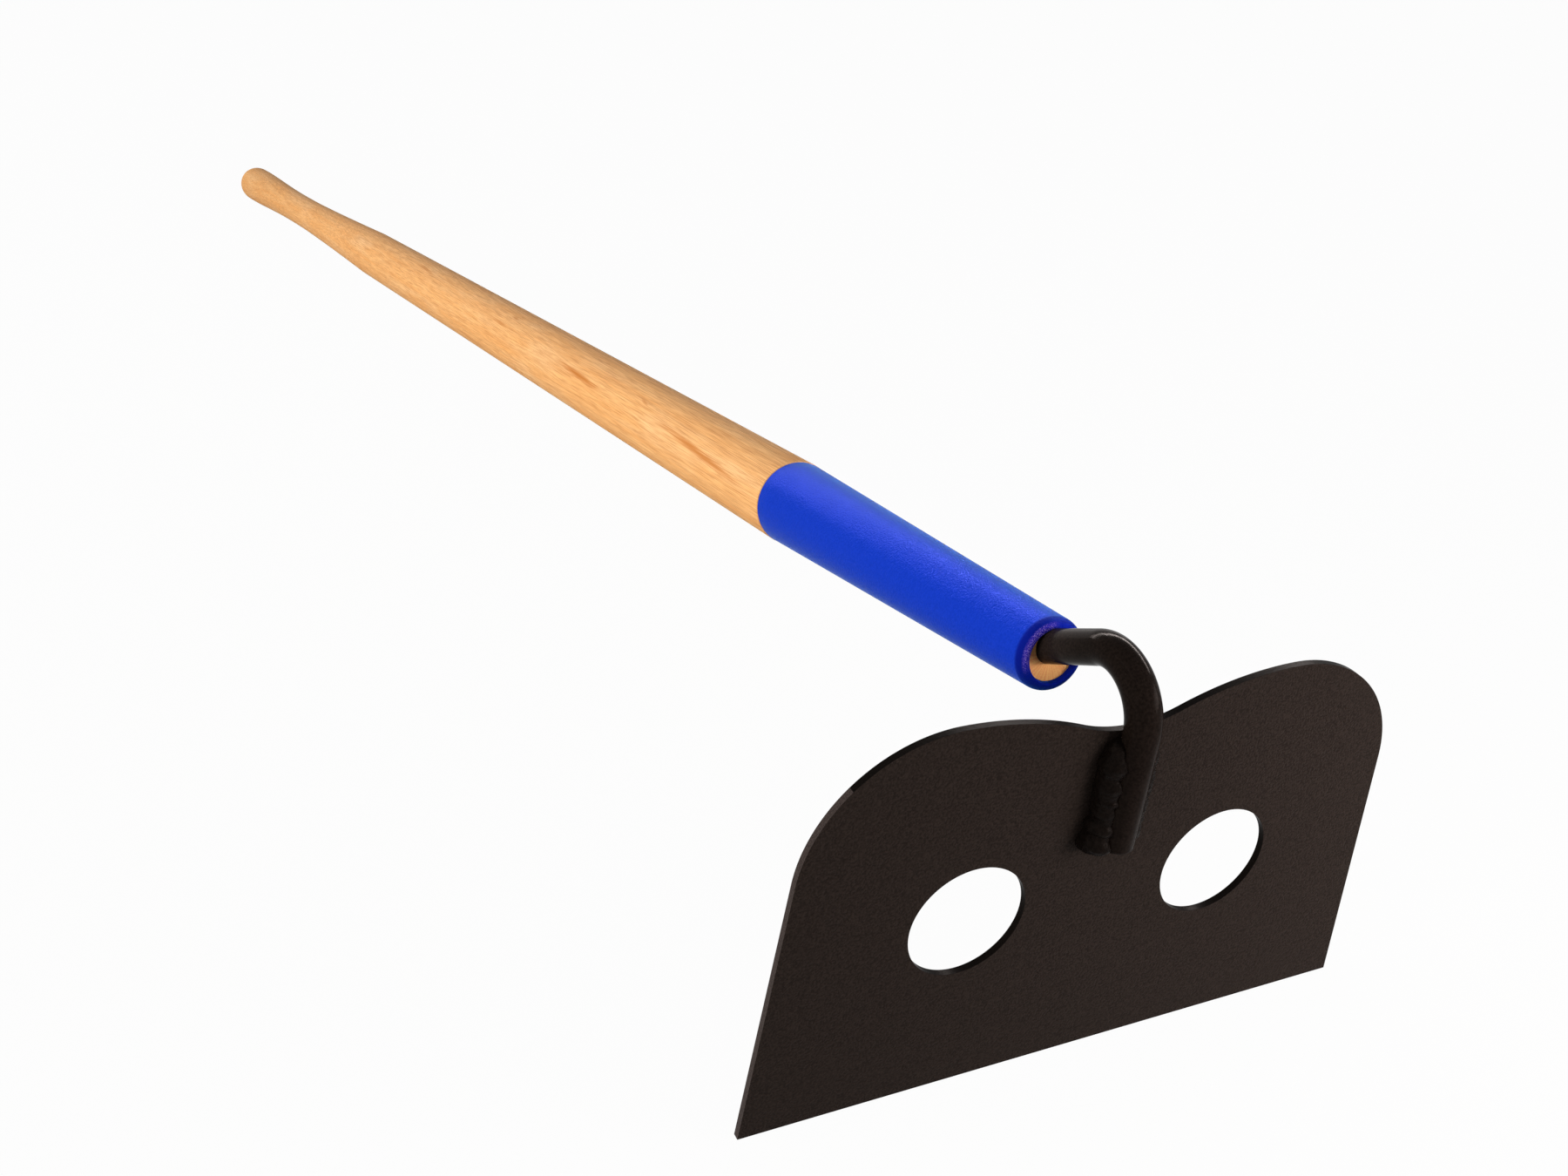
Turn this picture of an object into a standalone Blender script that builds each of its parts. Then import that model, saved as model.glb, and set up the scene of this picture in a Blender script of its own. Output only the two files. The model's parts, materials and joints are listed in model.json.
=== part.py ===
# A long-handled cement hoe, lying on a floor on its blade's edge and the butt of its handle.
# Metres, +Z up, +Y from the blade towards the butt, +X across the blade.
#
# The hoe is laid out with its blade upright: the blade's front face, which looks away from the
# handle, is the plane Y = 0, its digging edge is at Z = 0, and the handle's line slopes down
# behind it. At the end the whole hoe is tipped until edge and butt touch the floor together.

import math

import bmesh
import bpy
from mathutils import Vector

# Blade: a plate with straight tapering sides, two round lobes and a dip between them.
BLADE_WIDTH = 0.254
BLADE_HEIGHT = 0.1524
BLADE_THICKNESS = 0.0027
SIDE_TAPER = 5.1
LOBE_RADIUS = 0.0526
DIP_DEPTH = 0.0122
DIP_RADIUS = 0.0524
HOLE_DIAMETER = 0.04445
HOLE_SPACING = 0.1016
HOLE_HEIGHT = 0.073

# Neck: one round bar. Its tang lies in the handle, its flattened lower end laps the blade's front.
ROD_DIAMETER = 0.0125
TANG_LENGTH = 0.115
CORNER_DEPTH = 0.0088
NECK_RISE = 19.05
SMALL_BEND_RADIUS = 0.018
BIG_BEND_RADIUS = 0.0192
LAP_LENGTH = 0.0441
FLAT_DEPTH = 0.0023
EDGE_CLEARANCE = 0.0008
ROD_END_ROUND = 0.0012

# Handle: a turned wooden bar with a slim waist for the hand and a round butt.
# Its places are distances from its front end.
HANDLE_SLOPE = 11.27
AXIS_ABOVE_DIP = 0.0082
HANDLE_LENGTH = 1.6764
HANDLE_DIAMETER = 0.0381
GRIP_START = 1.035
WAIST_PLACE = 1.330
WAIST_DIAMETER = 0.0302
BUTT_DIAMETER = 0.0381
BUTT_ROUND = 0.017
TAPER_EASE = 1.4
FLARE_EASE = 1.35

# Ferrule: a tapered steel sleeve on the handle's front end, rolled in to a round lip at its mouth.
# The mouth's distance runs along the handle's line from the blade's front plane.
MOUTH_DISTANCE = 0.0475
FERRULE_LENGTH = 0.2025
FERRULE_WALL = 0.0012
FERRULE_MOUTH_DIAMETER = 0.0270
FERRULE_BACK_DIAMETER = 0.0378
LIP_OPENING = 0.0194
LIP_CREST_DIAMETER = 0.0207
LIP_THICKNESS = 0.0021
LIP_ROUND = 0.0043

# Weld beads, one on each side of the lap. A station gives a share of the bead's length from its
# foot up, how far the toe reaches past the rod's side, and the degrees that the bead climbs the
# rod past its side.
WELD_BELOW_END = 0.0042
WELD_BELOW_DIP = 0.0022
RIGHT_WELD_BELOW_DIP = 0.0065
WELD_BULGE = 0.55
LEFT_WELD = (
    (0.00, 0.0022, -24.0),
    (0.05, 0.0060, 10.0),
    (0.13, 0.0074, 32.0),
    (0.20, 0.0066, 29.0),
    (0.28, 0.0038, 21.0),
    (0.37, 0.0043, 26.0),
    (0.50, 0.0053, 22.0),
    (0.62, 0.0056, 28.0),
    (0.73, 0.0054, 15.0),
    (0.82, 0.0050, 33.0),
    (0.91, 0.0034, 12.0),
    (1.00, 0.0008, -14.0),
)
RIGHT_WELD = (
    (0.00, 0.0010, -26.0),
    (0.06, 0.0030, -4.0),
    (0.18, 0.0040, 12.0),
    (0.30, 0.0034, 7.0),
    (0.42, 0.0041, 13.0),
    (0.54, 0.0036, 8.0),
    (0.66, 0.0042, 14.0),
    (0.78, 0.0040, 11.0),
    (0.90, 0.0033, 4.0),
    (1.00, 0.0008, -24.0),
)

# Air left between pieces that touch.
GAP = 0.0003

# Fineness of the round shapes.
HANDLE_SIDES = 48
ROD_SIDES = 32
ARC_STEP = 5.0
GRIP_STEPS = 14
STRAIGHT_STEPS = 6
WELD_RINGS = 32
WELD_SIDES = 7

# Sizes that follow from the ones above.
SLOPE = math.radians(HANDLE_SLOPE)
ROD_RADIUS = ROD_DIAMETER / 2
DIP_HEIGHT = BLADE_HEIGHT - DIP_DEPTH
AXIS_HEIGHT = DIP_HEIGHT + AXIS_ABOVE_DIP
ROD_Y = -(GAP + ROD_RADIUS - FLAT_DEPTH)
ROD_END_HEIGHT = DIP_HEIGHT - LAP_LENGTH
WOOD_FACE = MOUTH_DISTANCE + LIP_THICKNESS + GAP
FERRULE_END = MOUTH_DISTANCE + FERRULE_LENGTH


def clear_scene():
    """Remove every object, so that the hoe is alone."""
    for old in list(bpy.data.objects):
        bpy.data.objects.remove(old, do_unlink=True)


def make_material(name, colour, roughness, metallic):
    """A plain Principled material."""
    material = bpy.data.materials.new(name)
    material.use_nodes = True
    shader = material.node_tree.nodes["Principled BSDF"]
    shader.inputs["Base Color"].default_value = (*colour, 1.0)
    shader.inputs["Roughness"].default_value = roughness
    shader.inputs["Metallic"].default_value = metallic
    material.diffuse_color = (*colour, 1.0)
    return material


def make_empty(name, parent=None):
    """An empty that carries pieces."""
    empty = bpy.data.objects.new(name, None)
    bpy.context.collection.objects.link(empty)
    empty.parent = parent
    return empty


def make_object(name, bm, parent, material=None):
    """Turn a bmesh into a named object, shaded smooth except at its sharp edges."""
    bmesh.ops.recalc_face_normals(bm, faces=bm.faces)
    mesh = bpy.data.meshes.new(name)
    bm.to_mesh(mesh)
    bm.free()
    mesh.shade_smooth()
    mesh.set_sharp_from_angle(angle=math.radians(35.0))
    piece = bpy.data.objects.new(name, mesh)
    bpy.context.collection.objects.link(piece)
    piece.parent = parent
    if material:
        mesh.materials.append(material)
    return piece


def make_cutter(name, bm, parent):
    """A shape that only cuts others."""
    cutter = make_object(name, bm, parent)
    cutter.hide_render = True
    cutter.display_type = "WIRE"
    return cutter


def cut(piece, cutter):
    """Take the cutter's shape out of the piece."""
    boolean = piece.modifiers.new(cutter.name, "BOOLEAN")
    boolean.operation = "DIFFERENCE"
    boolean.solver = "EXACT"
    boolean.object = cutter


def arc_points(centre, radii, start, end):
    """Points on a round or oval arc between two angles in degrees, without the first point."""
    count = max(2, round(abs(end - start) / ARC_STEP))
    points = []
    for k in range(1, count + 1):
        angle = math.radians(start + (end - start) * k / count)
        points.append((
            centre[0] + radii[0] * math.cos(angle),
            centre[1] + radii[1] * math.sin(angle),
        ))
    return points


def lathe(profile, closed):
    """A solid turned about the local Z axis from (radius, height) points."""
    bm = bmesh.new()
    points = [bm.verts.new((0.0, -radius, height)) for radius, height in profile]
    edges = [bm.edges.new(pair) for pair in zip(points, points[1:])]
    if closed:
        edges.append(bm.edges.new((points[-1], points[0])))
    bmesh.ops.spin(
        bm,
        geom=points + edges,
        axis=(0, 0, 1),
        cent=(0, 0, 0),
        angle=2 * math.pi,
        steps=HANDLE_SIDES,
    )
    bmesh.ops.remove_doubles(bm, verts=bm.verts, dist=1e-6)
    return bm


def loft(rings):
    """A solid through closed rings of points, with a flat face at each end."""
    bm = bmesh.new()
    rows = [[bm.verts.new(point) for point in ring] for ring in rings]
    for low, high in zip(rows, rows[1:]):
        for k in range(len(low)):
            after = (k + 1) % len(low)
            bm.faces.new((low[k], low[after], high[after], high[k]))
    bm.faces.new(rows[0])
    bm.faces.new(rows[-1])
    return bm


def half_outline():
    """The blade's right half as (x, z) points, from the digging edge to the middle of the dip."""
    taper = math.radians(SIDE_TAPER)
    lobe_z = BLADE_HEIGHT - LOBE_RADIUS
    lobe_x = BLADE_WIDTH / 2 - (LOBE_RADIUS + lobe_z * math.sin(taper)) / math.cos(taper)
    # From the lobe's top the edge falls by one arc and runs out level in the dip by another.
    # Both are level at their outer ends, so the drop and the distance set their turn.
    turn = 2 * math.degrees(math.atan2(DIP_DEPTH, lobe_x))
    fall_radius = lobe_x / math.sin(math.radians(turn)) - DIP_RADIUS
    lobe = (LOBE_RADIUS, LOBE_RADIUS)
    fall = (fall_radius, fall_radius)
    dip = (DIP_RADIUS, DIP_RADIUS)
    points = [(BLADE_WIDTH / 2, 0.0)]
    points.append((
        lobe_x + LOBE_RADIUS * math.cos(taper),
        lobe_z + LOBE_RADIUS * math.sin(taper),
    ))
    points += arc_points((lobe_x, lobe_z), lobe, SIDE_TAPER, 90.0)
    points += arc_points((lobe_x, BLADE_HEIGHT - fall_radius), fall, 90.0, 90.0 + turn)
    points += arc_points((0.0, DIP_HEIGHT + DIP_RADIUS), dip, turn - 90.0, -90.0)
    return points


def make_blade(parent, material):
    """The plate with its two round holes."""
    bm = bmesh.new()
    right = half_outline()
    left = [(-x, z) for x, z in reversed(right[:-1])]
    loops = [right + left]
    hole = (HOLE_DIAMETER / 2, HOLE_DIAMETER / 2)
    for side in (-1, 1):
        loops.append(arc_points((side * HOLE_SPACING / 2, HOLE_HEIGHT), hole, 0.0, 360.0))
    for loop in loops:
        verts = [bm.verts.new((x, 0.0, z)) for x, z in loop]
        for first, second in zip(verts, verts[1:] + verts[:1]):
            bm.edges.new((first, second))
    bmesh.ops.triangle_fill(bm, use_beauty=True, edges=bm.edges)
    plate = bmesh.ops.extrude_face_region(bm, geom=bm.faces)
    back = [item for item in plate["geom"] if isinstance(item, bmesh.types.BMVert)]
    bmesh.ops.translate(bm, verts=back, vec=(0.0, BLADE_THICKNESS, 0.0))
    return make_object("blade", bm, parent, material)


def along_axis(distance):
    """The (y, z) point on the handle's line at a distance from the blade's front plane."""
    return Vector((distance * math.cos(SLOPE), AXIS_HEIGHT - distance * math.sin(SLOPE)))


def direction(heading):
    """The unit (y, z) vector of a heading in radians."""
    return Vector((math.cos(heading), math.sin(heading)))


class Walk:
    """A path in the Y-Z plane made of straights and bends, kept as points with their headings."""

    def __init__(self, point, heading):
        self.point = point
        self.heading = heading
        self.stops = [(point, heading)]

    def straight(self, length):
        self.point = self.point + length * direction(self.heading)
        self.stops.append((self.point, self.heading))

    def bend(self, radius, turn):
        """Turn by an angle in radians, to the left if it is positive."""
        arm = math.copysign(radius, turn) * direction(self.heading + math.pi / 2)
        centre = self.point + arm
        count = max(2, round(abs(math.degrees(turn)) / ARC_STEP))
        for k in range(1, count + 1):
            heading = self.heading + turn * k / count
            arm = math.copysign(radius, turn) * direction(heading + math.pi / 2)
            self.stops.append((centre - arm, heading))
        self.point, self.heading = self.stops[-1]


def neck_stops(tang_length):
    """The bar's centre line, from the tang's end in the handle to the end of the lap."""
    rise = math.radians(NECK_RISE)
    towards_blade = math.pi - SLOPE
    climbing = towards_blade - rise
    down = 1.5 * math.pi
    big_turn = down - climbing
    corner_distance = WOOD_FACE + CORNER_DEPTH
    corner = along_axis(corner_distance)
    # The climbing line from the corner meets the lap's upright line at the elbow.
    to_elbow = (ROD_Y - corner.x) / math.cos(climbing)
    elbow_height = corner.y + to_elbow * math.sin(climbing)
    small_reach = SMALL_BEND_RADIUS * math.tan(rise / 2)
    big_reach = BIG_BEND_RADIUS * math.tan(big_turn / 2)
    tang_end = WOOD_FACE + tang_length
    walk = Walk(along_axis(tang_end), towards_blade)
    walk.straight(tang_end - corner_distance - small_reach)
    walk.bend(SMALL_BEND_RADIUS, -rise)
    walk.straight(to_elbow - small_reach - big_reach)
    walk.bend(BIG_BEND_RADIUS, big_turn)
    walk.straight(elbow_height - big_reach - ROD_END_HEIGHT)
    return walk.stops


def sweep(stops, radius, end_round=0.0):
    """A round bar in the plane X = 0 through (point, heading) stops, its last rim rounded."""
    sections = [(point, heading, radius) for point, heading in stops]
    if end_round:
        last, heading, _ = sections.pop()
        for angle in (0.0, 30.0, 60.0, 90.0):
            back = end_round * (1 - math.sin(math.radians(angle)))
            inward = end_round * (1 - math.cos(math.radians(angle)))
            sections.append((last - back * direction(heading), heading, radius - inward))
    rings = []
    for point, heading, section_radius in sections:
        left = direction(heading + math.pi / 2)
        ring = []
        for k in range(ROD_SIDES):
            angle = 2 * math.pi * k / ROD_SIDES
            x = section_radius * math.cos(angle)
            y, z = point + section_radius * math.sin(angle) * left
            ring.append((x, y, z))
        rings.append(ring)
    return loft(rings)


def make_neck(parent, material):
    """The bent bar, its back flattened where it laps the blade."""
    neck = make_object("neck", sweep(neck_stops(TANG_LENGTH), ROD_RADIUS, ROD_END_ROUND), parent)
    neck.data.materials.append(material)
    top = DIP_HEIGHT + EDGE_CLEARANCE
    bottom = ROD_END_HEIGHT - ROD_RADIUS
    depth = ROD_DIAMETER
    corners = ((-depth, -GAP), (depth, -GAP), (depth, depth), (-depth, depth))
    rings = [[(x, y, height) for x, y in corners] for height in (bottom, top)]
    cut(neck, make_cutter("lap_flat_cutter", loft(rings), parent))
    return neck


def ferrule_radius(distance):
    """The ferrule's outer radius at a distance along the handle's line."""
    share = (distance - MOUTH_DISTANCE) / FERRULE_LENGTH
    return (FERRULE_MOUTH_DIAMETER + share * (FERRULE_BACK_DIAMETER - FERRULE_MOUTH_DIAMETER)) / 2


def ferrule_profile():
    """The ferrule's wall as a closed loop of (radius, distance) points, from the lip outwards."""
    crest = LIP_CREST_DIAMETER / 2
    opening = LIP_OPENING / 2
    seat = MOUTH_DISTANCE + LIP_THICKNESS
    shoulder = MOUTH_DISTANCE + LIP_ROUND
    outer_round = (ferrule_radius(shoulder) - crest, LIP_ROUND)
    inner_round = (crest - opening, LIP_THICKNESS)
    points = [
        (opening, seat),
        (ferrule_radius(seat) - FERRULE_WALL, seat),
        (ferrule_radius(FERRULE_END) - FERRULE_WALL, FERRULE_END),
        (ferrule_radius(FERRULE_END), FERRULE_END),
        (ferrule_radius(shoulder), shoulder),
    ]
    points += arc_points((crest, shoulder), outer_round, 0.0, -90.0)
    points += arc_points((crest, seat), inner_round, -90.0, -180.0)[:-1]
    return points


def handle_profile():
    """The handle's outline as (radius, distance) points, from its front end to its butt."""
    full = HANDLE_DIAMETER / 2
    waist = WAIST_DIAMETER / 2
    butt = BUTT_DIAMETER / 2
    seat = FERRULE_END + GAP
    grip = WOOD_FACE + GRIP_START
    narrow = WOOD_FACE + WAIST_PLACE
    dome = WOOD_FACE + HANDLE_LENGTH - BUTT_ROUND
    points = [
        (0.0, WOOD_FACE),
        (ferrule_radius(WOOD_FACE) - FERRULE_WALL - GAP, WOOD_FACE),
        (ferrule_radius(seat) - FERRULE_WALL - GAP, seat),
    ]
    for k in range(STRAIGHT_STEPS + 1):
        points.append((full, seat + (grip - seat) * k / STRAIGHT_STEPS))
    for k in range(1, GRIP_STEPS + 1):
        share = k / GRIP_STEPS
        eased = 1 - (1 - share) ** TAPER_EASE
        points.append((full + (waist - full) * eased, grip + (narrow - grip) * share))
    for k in range(1, GRIP_STEPS + 1):
        share = k / GRIP_STEPS
        eased = (1 - math.cos(math.pi * share ** FLARE_EASE)) / 2
        points.append((waist + (butt - waist) * eased, narrow + (dome - narrow) * share))
    points += arc_points((0.0, dome), (butt, BUTT_ROUND), 0.0, 90.0)[:-1]
    points.append((0.0, WOOD_FACE + HANDLE_LENGTH))
    return points


def between(stations, share):
    """Read a bead's toe and climb at a share of its length, eased from station to station."""
    for low, high in zip(stations, stations[1:]):
        if share <= high[0]:
            part = (share - low[0]) / (high[0] - low[0])
            eased = part * part * (3 - 2 * part)
            return [low[k] + (high[k] - low[k]) * eased for k in (1, 2)]
    return stations[-1][1:]


def make_weld(name, side, stations, top, parent, material):
    """A lumpy bead in the corner between the rod and the blade's front, on one side of the lap."""
    bottom = ROD_END_HEIGHT - WELD_BELOW_END
    reach = ROD_RADIUS + GAP
    root = -math.asin((-ROD_Y - GAP) / reach)
    rings = []
    for k in range(WELD_RINGS + 1):
        share = k / WELD_RINGS
        height = bottom + (top - bottom) * share
        past_side, climb = between(stations, share)
        climb = math.radians(climb)
        toe = Vector((ROD_RADIUS + past_side, -GAP))
        ring = []
        for step in range(WELD_SIDES):
            angle = root + (climb - root) * step / (WELD_SIDES - 1)
            ring.append(Vector((reach * math.cos(angle), ROD_Y - reach * math.sin(angle))))
        crown = ring[-1]
        corner = Vector((toe.x, crown.y))
        middle = (toe + crown) / 2
        pull = middle + (corner - middle) * 2 * WELD_BULGE
        for step in range(1, WELD_SIDES):
            part = step / WELD_SIDES
            ring.append(
                crown * (1 - part) ** 2 + pull * 2 * part * (1 - part) + toe * part ** 2
            )
        ring.append(toe)
        rings.append([(side * point.x, point.y, height) for point in ring])
    return make_object(name, loft(rings), parent, material)


def lay_on_floor(stand, handle):
    """Tip the hoe until blade edge and butt touch the floor, and centre it over the origin."""
    bpy.context.view_layer.update()
    corners = [handle.matrix_world @ vert.co for vert in handle.data.vertices]
    stand.rotation_euler.x = max(math.atan2(-point.z, point.y) for point in corners)
    bpy.context.view_layer.update()
    points = []
    for piece in bpy.data.objects:
        if piece.type == "MESH" and not piece.hide_render:
            points += [piece.matrix_world @ vert.co for vert in piece.data.vertices]
    ys = [point.y for point in points]
    stand.location.y = -(min(ys) + max(ys)) / 2
    stand.location.z = -min(point.z for point in points)


def build_hoe():
    """Make every piece and lay the hoe down."""
    clear_scene()
    black_paint = make_material("black_paint", (0.022, 0.017, 0.015), 0.42, 0.0)
    blue_paint = make_material("blue_paint", (0.012, 0.035, 0.6), 0.38, 0.0)
    ash_wood = make_material("ash_wood", (0.8, 0.47, 0.2), 0.55, 0.0)

    stand = make_empty("stand")
    handle_line = make_empty("handle_line", stand)
    handle_line.location = (0.0, 0.0, AXIS_HEIGHT)
    handle_line.rotation_euler.x = -(math.pi / 2 + SLOPE)

    make_blade(stand, black_paint)
    make_neck(stand, black_paint)
    left_top = DIP_HEIGHT - WELD_BELOW_DIP
    right_top = DIP_HEIGHT - RIGHT_WELD_BELOW_DIP
    make_weld("weld_left", -1, LEFT_WELD, left_top, stand, black_paint)
    make_weld("weld_right", 1, RIGHT_WELD, right_top, stand, black_paint)

    handle = make_object("handle", lathe(handle_profile(), False), handle_line, ash_wood)
    ferrule = make_object("ferrule", lathe(ferrule_profile(), True), handle_line, blue_paint)
    bore = make_cutter("rod_bore", sweep(neck_stops(TANG_LENGTH + GAP), ROD_RADIUS + GAP), stand)
    cut(handle, bore)
    cut(ferrule, bore)

    lay_on_floor(stand, handle)


build_hoe()
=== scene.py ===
import json
import math

import bmesh
import bpy
from mathutils import Matrix, Vector


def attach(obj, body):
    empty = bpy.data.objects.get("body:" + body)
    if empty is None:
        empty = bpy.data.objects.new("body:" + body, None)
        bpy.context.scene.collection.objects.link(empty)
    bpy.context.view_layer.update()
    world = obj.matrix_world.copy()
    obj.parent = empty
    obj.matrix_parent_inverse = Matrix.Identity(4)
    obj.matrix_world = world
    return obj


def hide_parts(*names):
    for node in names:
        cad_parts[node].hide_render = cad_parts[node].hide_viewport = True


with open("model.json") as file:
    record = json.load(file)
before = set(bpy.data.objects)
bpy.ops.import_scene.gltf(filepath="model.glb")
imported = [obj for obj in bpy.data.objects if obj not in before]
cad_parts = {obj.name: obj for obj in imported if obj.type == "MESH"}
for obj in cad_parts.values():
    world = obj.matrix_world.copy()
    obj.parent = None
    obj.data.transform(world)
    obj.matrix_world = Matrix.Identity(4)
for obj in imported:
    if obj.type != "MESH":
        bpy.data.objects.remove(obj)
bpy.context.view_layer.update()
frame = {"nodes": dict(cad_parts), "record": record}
bpy.ops.object.select_all(action="DESELECT")


# The blade: a plate of 12-gauge sheet steel, cut with two lobes, a dip and two flow holes. The
# whole steel part is dipped in satin brown-black paint, which dries with a fine orange-peel skin
# on the faces and smoother on the cut rims. The rims' colour is darker, as painted shade, and the
# two side edges' colour lighter, as a painted reflection.
BLADE_WIDTH = 0.254
BLADE_HEIGHT = 0.1524
BLADE_THICKNESS = 0.0027
SIDE_TAPER = math.radians(5.1)
LOBE_RADIUS = 0.0526
DIP_DEPTH = 0.0122
DIP_RADIUS = 0.0524
HOLE_RADIUS = 0.022225
HOLE_SPACING = 0.1016
HOLE_HEIGHT = 0.073
HOLE_SIDES = 128
LOBE_STEPS = 48
FALL_STEPS = 20
DIP_STEPS = 16
RIM_ROUND = 0.00045
RIM_STEPS = 3
RIM_ANGLE = math.radians(40)
MERGE_REACH = 0.00001
PAINT_GRAIN = 0.0008
RIM_GRAIN = PAINT_GRAIN * 0.6
PAINT_COLOUR = (0.0152, 0.0113, 0.0097)
# The rims' colour is darker, as painted shade; the side edges' colour is lighter, as a painted
# reflection.
RIM_SHADE_COLOUR = (0.0045, 0.0036, 0.0032)
SIDE_REFLECTION_COLOUR = (0.044, 0.035, 0.034)
PAINT_SHINE = (1.0, 0.86, 0.80)
FRONT_FACING = 0.8
SIDE_FACING = 0.7
# The size of the paint's dust and clouds and the height of its hills, as shares of its grain.
DUST_SIZE = 0.35
CLOUD_SIZE = 40.0
HILL_HEIGHT = 0.12

# The record's mount lies on the blade's back at the height of the holes, square to the plate.
mount = frame["record"]["mounts"][0]
lean = math.atan2(mount["axis"][2], mount["axis"][1])
upright_mount = Vector((0.0, BLADE_THICKNESS, HOLE_HEIGHT))
stance = (
    Matrix.Translation(mount["pos_m"])
    @ Matrix.Rotation(lean, 4, "X")
    @ Matrix.Translation(-upright_mount)
)


class Wire:
    """A value that runs through a material. Python's operators on it add Math nodes."""

    def __init__(self, finish, socket):
        self.finish = finish
        self.socket = socket

    def math(self, operation, first, second):
        return self.finish.node("ShaderNodeMath", {"operation": operation}, {0: first, 1: second})

    def __add__(self, other):
        return self.math("ADD", self, other)

    def __radd__(self, other):
        return self.math("ADD", other, self)

    def __sub__(self, other):
        return self.math("SUBTRACT", self, other)

    def __rsub__(self, other):
        return self.math("SUBTRACT", other, self)

    def __mul__(self, other):
        return self.math("MULTIPLY", self, other)

    def __rmul__(self, other):
        return self.math("MULTIPLY", other, self)

    def __truediv__(self, other):
        return self.math("DIVIDE", self, other)


class Finish:
    """The nodes of a material, or of the room round the object, wired up one by one."""

    def __init__(self, owner, shader="Principled BSDF"):
        owner.use_nodes = True
        self.owner = owner
        self.tree = owner.node_tree
        self.shader = self.tree.nodes[shader]

    def feed(self, socket, value):
        """Link a wire to a socket, or set the socket, where a colour gets its alpha."""
        if isinstance(value, Wire):
            self.tree.links.new(value.socket, socket)
        elif socket.type == "RGBA":
            socket.default_value = (*value, 1.0)
        else:
            socket.default_value = value

    def node(self, kind, settings, sockets, output=0):
        """Add a node: its settings first, then the values or links of its sockets."""
        made = self.tree.nodes.new(kind)
        for name, value in settings.items():
            setattr(made, name, value)
        for name, value in sockets.items():
            self.feed(made.inputs[name], value)
        return Wire(self, made.outputs[output])

    def vector(self, operation, *values, output="Vector"):
        """Arithmetic on places, directions and colours."""
        sockets = dict(enumerate(values))
        return self.node("ShaderNodeVectorMath", {"operation": operation}, sockets, output)

    def place(self):
        """Where a point of the piece lies, in metres."""
        return self.node("ShaderNodeTexCoord", {}, {}, "Object")

    def part(self, place, axis):
        """One of a place's three coordinates."""
        return self.node("ShaderNodeSeparateXYZ", {}, {0: place}, axis)

    def noise(self, where, size, detail=2.0, roughness=0.5, distortion=0.0):
        """Soft random hills, about a size apart."""
        sockets = {
            "Vector": where,
            "Scale": 1.0 / size,
            "Detail": detail,
            "Roughness": roughness,
            "Distortion": distortion,
        }
        return self.node("ShaderNodeTexNoise", {}, sockets)

    def spread(self, value, low, high):
        """A smooth rise from 0 to 1 while a value goes from low to high."""
        settings = {"interpolation_type": "SMOOTHSTEP"}
        return self.node("ShaderNodeMapRange", settings, {0: value, 1: low, 2: high})

    def blend(self, share, first, second):
        """Mix two colours."""
        sockets = {0: share, 6: first, 7: second}
        return self.node("ShaderNodeMix", {"data_type": "RGBA"}, sockets, 2)

    def bump(self, height, strength, distance):
        """Stand a pattern's hills up from the surface."""
        sockets = {"Height": height, "Strength": strength, "Distance": distance}
        return self.node("ShaderNodeBump", {}, sockets)

    def dress(self, **sockets):
        """Set or link the shader's own sockets, whose names are given with underscores."""
        for name, value in sockets.items():
            self.feed(self.shader.inputs[name.replace("_", " ")], value)
        return self.owner


def black_paint(name, colour, gloss, grain, roughness, relief, painted_light=None):
    """Satin brown-black paint whose skin has fine hills, a grain apart.

    Painted light turns the paint to a paler colour from one place along the hoe to another.
    """
    paint = Finish(bpy.data.materials.new(name))
    place = paint.place()
    if painted_light:
        painted_light_colour, start, end = painted_light
        colour = paint.blend(paint.spread(paint.part(place, "Y"), start, end), colour, painted_light_colour)
    peel = paint.spread(paint.noise(place, grain, detail=1.5), 0.25, 0.75)
    dust = paint.noise(place, grain * DUST_SIZE, detail=1.0)
    cloud = paint.noise(place, grain * CLOUD_SIZE)
    # The hills are painted lighter than the hollows, as painted shade in the hollows, and
    # broad faint random clouds lie over both.
    shade = 0.64 + 0.66 * peel + 0.04 * cloud
    return paint.dress(
        Base_Color=paint.vector("MULTIPLY", colour, shade),
        Roughness=roughness - 0.08 + 0.16 * dust,
        Specular_IOR_Level=gloss,
        Specular_Tint=PAINT_SHINE,
        Normal=paint.bump(peel + 0.25 * dust, relief, grain * HILL_HEIGHT),
    )


def start_point(name, place):
    """A new mesh with one selected point, left in edit mode: a plane merged at its middle."""
    bpy.ops.mesh.primitive_plane_add(size=0.001, location=place)
    piece = bpy.context.object
    piece.name = name
    bpy.ops.object.transform_apply(location=True, rotation=True, scale=True)
    bpy.ops.object.mode_set(mode="EDIT")
    bpy.ops.mesh.select_mode(type="VERT")
    bpy.ops.mesh.select_all(action="SELECT")
    bpy.ops.mesh.merge(type="CENTER")
    return piece


def pull(x=0.0, y=0.0, z=0.0):
    """Extrude what is selected along a straight."""
    bpy.ops.mesh.extrude_region_move(TRANSFORM_OT_translate={"value": (x, y, z)})


def sweep(steps, angle, centre, axis):
    """Extrude what is selected about an axis. Blender's spin counts its angle the other way."""
    bpy.ops.mesh.spin(steps=steps, angle=-angle, center=centre, axis=axis)


def face_outwards():
    """In edit mode, turn all faces of a closed mesh outwards."""
    bpy.ops.mesh.select_all(action="SELECT")
    bpy.ops.mesh.normals_make_consistent(inside=False)


def apply_modifier(piece, kind, **settings):
    """Add a modifier, set it and apply it."""
    bpy.ops.object.mode_set(mode="OBJECT")
    bpy.context.view_layer.objects.active = piece
    modifier = piece.modifiers.new(kind.title(), kind)
    for name, value in settings.items():
        setattr(modifier, name, value)
    bpy.ops.object.modifier_apply(modifier=modifier.name)


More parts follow.
